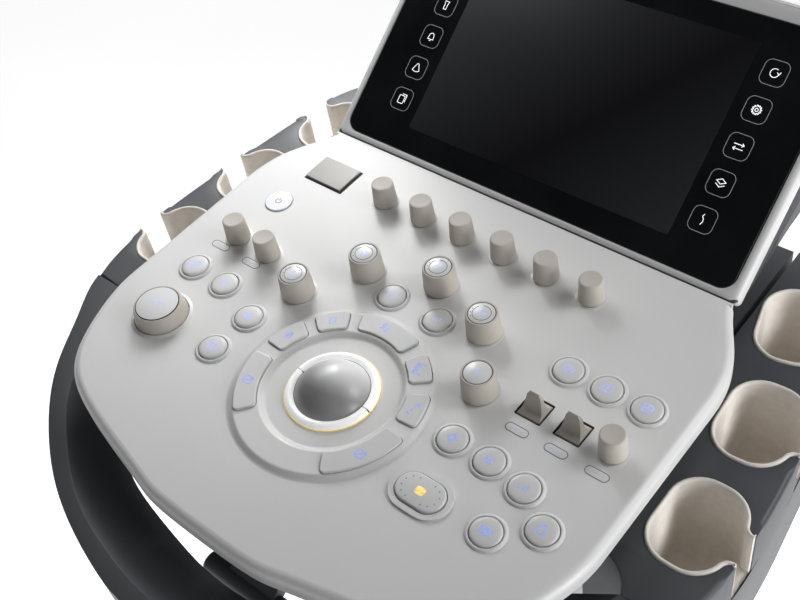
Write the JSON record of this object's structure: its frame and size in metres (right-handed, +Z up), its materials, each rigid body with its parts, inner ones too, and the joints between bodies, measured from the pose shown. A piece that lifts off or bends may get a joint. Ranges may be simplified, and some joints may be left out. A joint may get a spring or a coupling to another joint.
{
  "type": "ultrasound machine",
  "caption": "Cart-mounted ultrasound machine: sloping control console with trackball, dials and keys, tilting touch panel, probe cups, lift column, monitor and casters.",
  "frame": {"origin": "on the floor under the middle of the machine's bounding box", "axes": "+Z up, the user stands at -Y facing +Y, +X to the user's right"},
  "size_m": [0.524, 0.7108, 1.403],
  "materials": {
    "panel_plastic": "fine satin moulded plastic",
    "key_plastic": "satin keycap plastic",
    "knob_plastic": "warm grey soft-touch plastic",
    "ring_white": "polished white plastic",
    "ball": "polished grey resin",
    "slate_plastic": "dark slate moulded plastic",
    "cup_rubber": "smooth warm grey rubber",
    "black_glass": "black cover glass",
    "steel": "ground steel tube",
    "body_plastic": "satin moulded casing",
    "fork_metal": "dark painted casting",
    "tyre": "grey-black tread rubber"
  },
  "bodies": {
    "cart": {"cart_body": "body_plastic"},
    "console": {"lift_column": "steel", "console_pan": "slate_plastic", "control_panel": "panel_plastic", "trackball_ring": "ring_white", "side_trays": "slate_plastic", "probe_cups": "cup_rubber", "front_handle": "slate_plastic"},
    "touch_panel": {"touch_housing": "slate_plastic", "touch_glass": "black_glass"},
    "monitor_arm": {"monitor_arm": "body_plastic"},
    "monitor": {"monitor": "slate_plastic"},
    "trackball": {"trackball": "ball"},
    "release_lever": {"release_lever": "slate_plastic"},
    "preset_button_1": {"preset_button_1": "key_plastic"},
    "preset_button_2": {"preset_button_2": "key_plastic"},
    "preset_button_3": {"preset_button_3": "key_plastic"},
    "preset_button_4": {"preset_button_4": "key_plastic"},
    "layout_button_1": {"layout_button_1": "key_plastic"},
    "layout_button_2": {"layout_button_2": "key_plastic"},
    "layout_button_3": {"layout_button_3": "key_plastic"},
    "user_button_1": {"user_button_1": "key_plastic"},
    "user_button_2": {"user_button_2": "key_plastic"},
    "user_button_3": {"user_button_3": "key_plastic"},
    "user_button_4": {"user_button_4": "key_plastic"},
    "user_button_5": {"user_button_5": "key_plastic"},
    "mode_button_left": {"mode_button_left": "key_plastic"},
    "mode_button_right": {"mode_button_right": "key_plastic"},
    "ring_key_left": {"ring_key_left": "key_plastic"},
    "ring_key_upper_left": {"ring_key_upper_left": "key_plastic"},
    "ring_key_top": {"ring_key_top": "key_plastic"},
    "ring_key_upper_right": {"ring_key_upper_right": "key_plastic"},
    "ring_key_right": {"ring_key_right": "key_plastic"},
    "ring_key_lower_right": {"ring_key_lower_right": "key_plastic"},
    "ring_key_bottom": {"ring_key_bottom": "key_plastic"},
    "freeze_button": {"freeze_button": "key_plastic"},
    "power_button": {"power_button": "key_plastic"},
    "drum_button": {"drum_button": "key_plastic"},
    "dial_left": {"dial_left": "knob_plastic"},
    "dial_upper_left": {"dial_upper_left": "knob_plastic"},
    "dial_top": {"dial_top": "knob_plastic"},
    "dial_upper_right": {"dial_upper_right": "knob_plastic"},
    "dial_right": {"dial_right": "knob_plastic"},
    "soft_knob_1": {"soft_knob_1": "knob_plastic"},
    "soft_knob_2": {"soft_knob_2": "knob_plastic"},
    "soft_knob_3": {"soft_knob_3": "knob_plastic"},
    "soft_knob_4": {"soft_knob_4": "knob_plastic"},
    "soft_knob_5": {"soft_knob_5": "knob_plastic"},
    "soft_knob_6": {"soft_knob_6": "knob_plastic"},
    "side_knob_outer": {"side_knob_outer": "knob_plastic"},
    "side_knob_inner": {"side_knob_inner": "knob_plastic"},
    "side_knob_right": {"side_knob_right": "knob_plastic"},
    "paddle_left": {"paddle_left": "knob_plastic"},
    "paddle_right": {"paddle_right": "knob_plastic"},
    "caster_fork_left": {"caster_fork_left": "fork_metal"},
    "caster_wheel_left": {"caster_wheel_left": "tyre"},
    "rear_wheel_left": {"rear_wheel_left": "tyre"},
    "caster_fork_right": {"caster_fork_right": "fork_metal"},
    "caster_wheel_right": {"caster_wheel_right": "tyre"},
    "rear_wheel_right": {"rear_wheel_right": "tyre"}
  },
  "joints": [
    {"name": "lift", "type": "slide", "parent": "cart", "child": "console", "axis": [0, 0, 1], "range_m": [0, 0.2]},
    {"name": "release_lever_pull", "type": "hinge", "parent": "console", "child": "release_lever", "pos_m": [0, -0.24658, 0.76028], "axis": [-1, 0, 0], "range_deg": [0, 12], "stiffness_Nm_per_rad": 0.8, "springref_deg": -5.73},
    {"name": "touch_tilt", "type": "hinge", "parent": "console", "child": "touch_panel", "pos_m": [0, 0.02028, 0.88038], "axis": [-1, 0, 0], "range_deg": [0, 20]},
    {"name": "monitor_swivel", "type": "hinge", "parent": "console", "child": "monitor_arm", "pos_m": [0, 0.234, 0.9], "axis": [0, 0, 1], "range_deg": [-60, 60]},
    {"name": "monitor_tilt", "type": "hinge", "parent": "monitor_arm", "child": "monitor", "pos_m": [0, 0.201, 1.242], "axis": [1, 0, 0], "range_deg": [-15, 5]},
    {"name": "trackball_roll", "type": "hinge", "parent": "console", "child": "trackball", "pos_m": [0, -0.18734, 0.83748], "axis": [1, 0, 0], "continuous": true},
    {"name": "preset_button_1_press", "type": "slide", "parent": "console", "child": "preset_button_1", "axis": [0, 0.2079, -0.9781], "range_m": [0, 0.0015], "stiffness_N_per_m": 300, "springref_m": -0.001},
    {"name": "preset_button_2_press", "type": "slide", "parent": "console", "child": "preset_button_2", "axis": [0, 0.2079, -0.9781], "range_m": [0, 0.0015], "stiffness_N_per_m": 300, "springref_m": -0.001},
    {"name": "preset_button_3_press", "type": "slide", "parent": "console", "child": "preset_button_3", "axis": [0, 0.2079, -0.9781], "range_m": [0, 0.0015], "stiffness_N_per_m": 300, "springref_m": -0.001},
    {"name": "preset_button_4_press", "type": "slide", "parent": "console", "child": "preset_button_4", "axis": [0, 0.2079, -0.9781], "range_m": [0, 0.0015], "stiffness_N_per_m": 300, "springref_m": -0.001},
    {"name": "layout_button_1_press", "type": "slide", "parent": "console", "child": "layout_button_1", "axis": [0, 0.2079, -0.9781], "range_m": [0, 0.0015], "stiffness_N_per_m": 300, "springref_m": -0.001},
    {"name": "layout_button_2_press", "type": "slide", "parent": "console", "child": "layout_button_2", "axis": [0, 0.2079, -0.9781], "range_m": [0, 0.0015], "stiffness_N_per_m": 300, "springref_m": -0.001},
    {"name": "layout_button_3_press", "type": "slide", "parent": "console", "child": "layout_button_3", "axis": [0, 0.2079, -0.9781], "range_m": [0, 0.0015], "stiffness_N_per_m": 300, "springref_m": -0.001},
    {"name": "user_button_1_press", "type": "slide", "parent": "console", "child": "user_button_1", "axis": [0, 0.2079, -0.9781], "range_m": [0, 0.0015], "stiffness_N_per_m": 300, "springref_m": -0.001},
    {"name": "user_button_2_press", "type": "slide", "parent": "console", "child": "user_button_2", "axis": [0, 0.2079, -0.9781], "range_m": [0, 0.0015], "stiffness_N_per_m": 300, "springref_m": -0.001},
    {"name": "user_button_3_press", "type": "slide", "parent": "console", "child": "user_button_3", "axis": [0, 0.2079, -0.9781], "range_m": [0, 0.0015], "stiffness_N_per_m": 300, "springref_m": -0.001},
    {"name": "user_button_4_press", "type": "slide", "parent": "console", "child": "user_button_4", "axis": [0, 0.2079, -0.9781], "range_m": [0, 0.0015], "stiffness_N_per_m": 300, "springref_m": -0.001},
    {"name": "user_button_5_press", "type": "slide", "parent": "console", "child": "user_button_5", "axis": [0, 0.2079, -0.9781], "range_m": [0, 0.0015], "stiffness_N_per_m": 300, "springref_m": -0.001},
    {"name": "mode_button_left_press", "type": "slide", "parent": "console", "child": "mode_button_left", "axis": [0, 0.2079, -0.9781], "range_m": [0, 0.0015], "stiffness_N_per_m": 300, "springref_m": -0.001},
    {"name": "mode_button_right_press", "type": "slide", "parent": "console", "child": "mode_button_right", "axis": [0, 0.2079, -0.9781], "range_m": [0, 0.0015], "stiffness_N_per_m": 300, "springref_m": -0.001},
    {"name": "ring_key_left_press", "type": "slide", "parent": "console", "child": "ring_key_left", "axis": [0, 0.2079, -0.9781], "range_m": [0, 0.0015], "stiffness_N_per_m": 300, "springref_m": -0.001},
    {"name": "ring_key_upper_left_press", "type": "slide", "parent": "console", "child": "ring_key_upper_left", "axis": [0, 0.2079, -0.9781], "range_m": [0, 0.0015], "stiffness_N_per_m": 300, "springref_m": -0.001},
    {"name": "ring_key_top_press", "type": "slide", "parent": "console", "child": "ring_key_top", "axis": [0, 0.2079, -0.9781], "range_m": [0, 0.0015], "stiffness_N_per_m": 300, "springref_m": -0.001},
    {"name": "ring_key_upper_right_press", "type": "slide", "parent": "console", "child": "ring_key_upper_right", "axis": [0, 0.2079, -0.9781], "range_m": [0, 0.0015], "stiffness_N_per_m": 300, "springref_m": -0.001},
    {"name": "ring_key_right_press", "type": "slide", "parent": "console", "child": "ring_key_right", "axis": [0, 0.2079, -0.9781], "range_m": [0, 0.0015], "stiffness_N_per_m": 300, "springref_m": -0.001},
    {"name": "ring_key_lower_right_press", "type": "slide", "parent": "console", "child": "ring_key_lower_right", "axis": [0, 0.2079, -0.9781], "range_m": [0, 0.0015], "stiffness_N_per_m": 300, "springref_m": -0.001},
    {"name": "ring_key_bottom_press", "type": "slide", "parent": "console", "child": "ring_key_bottom", "axis": [0, 0.2079, -0.9781], "range_m": [0, 0.0015], "stiffness_N_per_m": 300, "springref_m": -0.001},
    {"name": "freeze_button_press", "type": "slide", "parent": "console", "child": "freeze_button", "axis": [0, 0.2079, -0.9781], "range_m": [0, 0.002], "stiffness_N_per_m": 300, "springref_m": -0.001},
    {"name": "power_button_press", "type": "slide", "parent": "console", "child": "power_button", "axis": [0, 0.2079, -0.9781], "range_m": [0, 0.0012], "stiffness_N_per_m": 300, "springref_m": -0.001},
    {"name": "drum_button_press", "type": "slide", "parent": "console", "child": "drum_button", "axis": [0, 0.2079, -0.9781], "range_m": [0, 0.002], "stiffness_N_per_m": 300, "springref_m": -0.001},
    {"name": "dial_left_turn", "type": "hinge", "parent": "console", "child": "dial_left", "pos_m": [-0.0776, -0.14011, 0.8606], "axis": [0, -0.2079, 0.9781], "continuous": true},
    {"name": "dial_upper_left_turn", "type": "hinge", "parent": "console", "child": "dial_upper_left", "pos_m": [-0.0486, -0.1006, 0.869], "axis": [0, -0.2079, 0.9781], "continuous": true},
    {"name": "dial_top_turn", "type": "hinge", "parent": "console", "child": "dial_top", "pos_m": [0.0026, -0.08416, 0.8725], "axis": [0, -0.2079, 0.9781], "continuous": true},
    {"name": "dial_upper_right_turn", "type": "hinge", "parent": "console", "child": "dial_upper_right", "pos_m": [0.0516, -0.10099, 0.86892], "axis": [0, -0.2079, 0.9781], "continuous": true},
    {"name": "dial_right_turn", "type": "hinge", "parent": "console", "child": "dial_right", "pos_m": [0.0782, -0.13992, 0.86064], "axis": [0, -0.2079, 0.9781], "continuous": true},
    {"name": "soft_knob_1_turn", "type": "hinge", "parent": "console", "child": "soft_knob_1", "pos_m": [-0.0842, -0.04064, 0.88175], "axis": [0, -0.2079, 0.9781], "continuous": true},
    {"name": "soft_knob_2_turn", "type": "hinge", "parent": "console", "child": "soft_knob_2", "pos_m": [-0.0488, -0.04064, 0.88175], "axis": [0, -0.2079, 0.9781], "continuous": true},
    {"name": "soft_knob_3_turn", "type": "hinge", "parent": "console", "child": "soft_knob_3", "pos_m": [-0.0134, -0.04064, 0.88175], "axis": [0, -0.2079, 0.9781], "continuous": true},
    {"name": "soft_knob_4_turn", "type": "hinge", "parent": "console", "child": "soft_knob_4", "pos_m": [0.022, -0.04064, 0.88175], "axis": [0, -0.2079, 0.9781], "continuous": true},
    {"name": "soft_knob_5_turn", "type": "hinge", "parent": "console", "child": "soft_knob_5", "pos_m": [0.0574, -0.04064, 0.88175], "axis": [0, -0.2079, 0.9781], "continuous": true},
    {"name": "soft_knob_6_turn", "type": "hinge", "parent": "console", "child": "soft_knob_6", "pos_m": [0.0928, -0.04064, 0.88175], "axis": [0, -0.2079, 0.9781], "continuous": true},
    {"name": "side_knob_outer_turn", "type": "hinge", "parent": "console", "child": "side_knob_outer", "pos_m": [-0.1533, -0.12427, 0.86397], "axis": [0, -0.2079, 0.9781], "continuous": true},
    {"name": "side_knob_inner_turn", "type": "hinge", "parent": "console", "child": "side_knob_inner", "pos_m": [-0.1214, -0.12554, 0.8637], "axis": [0, -0.2079, 0.9781], "continuous": true},
    {"name": "side_knob_right_turn", "type": "hinge", "parent": "console", "child": "side_knob_right", "pos_m": [0.1693, -0.13327, 0.86206], "axis": [0, -0.2079, 0.9781], "continuous": true},
    {"name": "paddle_left_rock", "type": "hinge", "parent": "console", "child": "paddle_left", "pos_m": [0.114, -0.13236, 0.86021], "axis": [1, 0, 0], "range_deg": [-12, 12], "stiffness_Nm_per_rad": 0.05},
    {"name": "paddle_right_rock", "type": "hinge", "parent": "console", "child": "paddle_right", "pos_m": [0.1417, -0.13236, 0.86021], "axis": [1, 0, 0], "range_deg": [-12, 12], "stiffness_Nm_per_rad": 0.05},
    {"name": "caster_swivel_left", "type": "hinge", "parent": "cart", "child": "caster_fork_left", "pos_m": [-0.212, -0.196, 0.15], "axis": [0, 0, 1], "continuous": true},
    {"name": "caster_roll_left", "type": "hinge", "parent": "caster_fork_left", "child": "caster_wheel_left", "pos_m": [-0.212, -0.164, 0.0625], "axis": [1, 0, 0], "continuous": true},
    {"name": "rear_roll_left", "type": "hinge", "parent": "cart", "child": "rear_wheel_left", "pos_m": [-0.214, 0.284, 0.0625], "axis": [1, 0, 0], "continuous": true},
    {"name": "caster_swivel_right", "type": "hinge", "parent": "cart", "child": "caster_fork_right", "pos_m": [0.212, -0.196, 0.15], "axis": [0, 0, 1], "continuous": true},
    {"name": "caster_roll_right", "type": "hinge", "parent": "caster_fork_right", "child": "caster_wheel_right", "pos_m": [0.212, -0.164, 0.0625], "axis": [1, 0, 0], "continuous": true},
    {"name": "rear_roll_right", "type": "hinge", "parent": "cart", "child": "rear_wheel_right", "pos_m": [0.214, 0.284, 0.0625], "axis": [1, 0, 0], "continuous": true}
  ]
}
